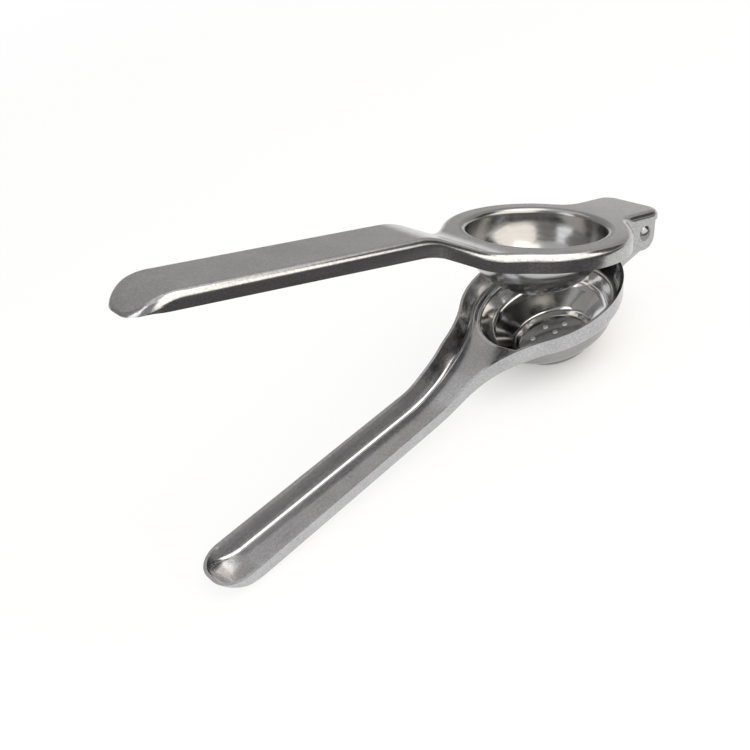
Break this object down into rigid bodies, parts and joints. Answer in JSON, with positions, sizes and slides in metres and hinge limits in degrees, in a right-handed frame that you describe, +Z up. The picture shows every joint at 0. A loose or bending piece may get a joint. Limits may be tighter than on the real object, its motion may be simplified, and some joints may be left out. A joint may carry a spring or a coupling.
{
  "type": "citrus press juicer",
  "caption": "Hand-held steel citrus press: channel-shaped levers on a rivet, a press cup in the upper one and a perforated strainer bowl in the lower one.",
  "frame": {"origin": "middle of the overall box on the table under the press", "axes": "+Z up, +X towards the hinge, handles towards -X, +Y across the levers along the rivet"},
  "size_m": [0.2108, 0.0684, 0.1049],
  "materials": {
    "satin_steel": "satin stainless steel with rolled bends",
    "polished_steel": "polished stainless steel, drawn cup and bowl",
    "rivet_steel": "bright stainless steel rivet and sleeve"
  },
  "bodies": {
    "base": {"lower_lever": "satin_steel", "strainer_bowl": "polished_steel", "hinge_sleeve": "rivet_steel"},
    "press_arm": {"upper_lever": "satin_steel", "press_cup": "polished_steel", "hinge_rivet": "rivet_steel"}
  },
  "joints": [
    {"name": "lever_hinge", "type": "hinge", "parent": "base", "child": "press_arm", "pos_m": [0.09376, 0, 0.03098], "axis": [0, 1, 0], "range_deg": [-26.5, 90]}
  ]
}
